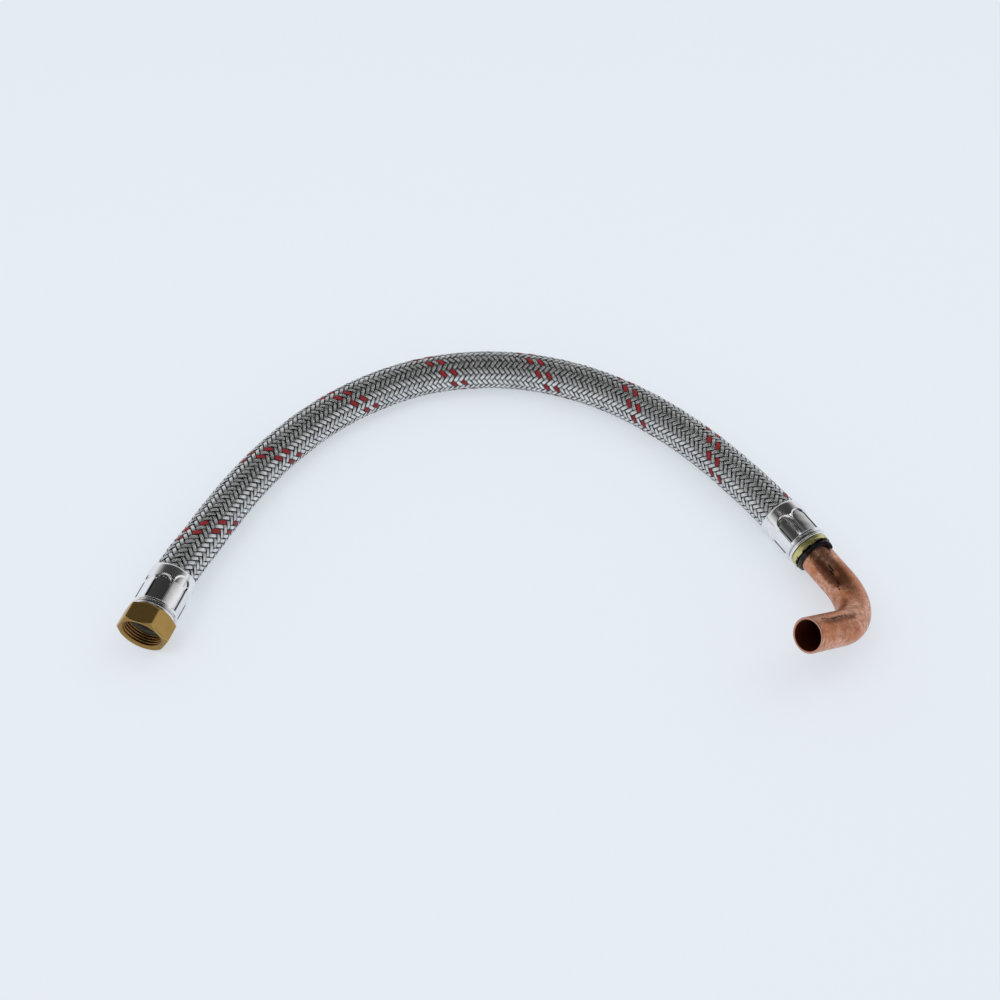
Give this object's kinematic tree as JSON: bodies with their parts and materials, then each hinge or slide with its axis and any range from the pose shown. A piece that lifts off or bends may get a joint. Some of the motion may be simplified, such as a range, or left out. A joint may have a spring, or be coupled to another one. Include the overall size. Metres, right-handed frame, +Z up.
{
  "type": "flexible hose",
  "caption": "Wire-braided flexible water hose lying in an arc, with a hexagonal union nut at one end and a bent copper tube outlet at the other.",
  "frame": {"origin": "on the surface the hose lies on, below the middle of its bounding box", "axes": "+X from the nut end to the elbow end along the chord of the arc, +Y towards the outside of the arc, +Z up"},
  "size_m": [0.4631, 0.2606, 0.0547],
  "materials": {
    "nut_brass": "satin, slightly dulled olive brass",
    "washer_fibre": "matt grey-green fibre",
    "tail_metal": "machined",
    "ferrule_steel": "bright drawn steel, crimped",
    "inner_rubber": "matt black",
    "braid_wire": "woven fine wire",
    "insert_brass": "pale yellow, machined",
    "braze_scorched": "blackened, glossy and lumpy",
    "copper_tube": "drawn copper with brown tarnish"
  },
  "bodies": {
    "hose": {"sealing_washer": "washer_fibre", "nut_end_tail": "tail_metal", "nut_end_ferrule": "ferrule_steel", "rubber_hose": "inner_rubber", "wire_braid": "braid_wire", "elbow_end_ferrule": "ferrule_steel", "elbow_end_insert": "insert_brass", "braze_bead": "braze_scorched", "copper_elbow": "copper_tube"},
    "nut": {"union_nut": "nut_brass"}
  },
  "joints": [
    {"name": "nut_swivel", "type": "hinge", "parent": "hose", "child": "nut", "pos_m": [-0.21351, -0.11983, 0.01587], "axis": [-0.2334, -0.9722, 0.0175], "continuous": true}
  ]
}
